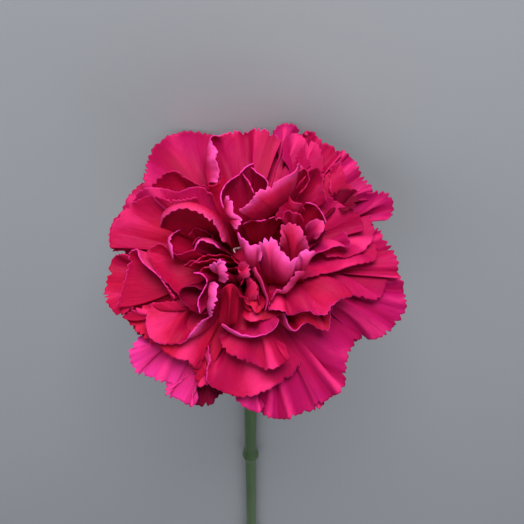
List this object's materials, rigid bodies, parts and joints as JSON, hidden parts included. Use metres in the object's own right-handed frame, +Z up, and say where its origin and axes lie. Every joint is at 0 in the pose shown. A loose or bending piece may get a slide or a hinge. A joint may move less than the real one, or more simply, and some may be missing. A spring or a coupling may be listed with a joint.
{
  "type": "cut carnation",
  "caption": "Cut carnation with a full bloom of toothed crimson-pink petals, lying on its side with a bare stem and a small pair of leaves.",
  "frame": {"origin": "on the table, under the middle of the flower's bounding box", "axes": "+Y along the stem, away from the bloom; +Z up; the bloom faces -Y and looks up by 40 degrees"},
  "size_m": [0.074, 0.314, 0.0556],
  "materials": {
    "petals": "velvety crimson-pink petals with pale toothed rims",
    "styles": "pale pink, waxy",
    "calyx": "matt green with fine ribs",
    "stem": "dark green with a waxy bloom",
    "leaf": "grey-green, waxy"
  },
  "bodies": {
    "root": {"bloom": "petals", "styles": "styles", "calyx": "calyx", "stem": "stem", "leaf_left": "leaf", "leaf_right": "leaf"}
  },
  "joints": []
}
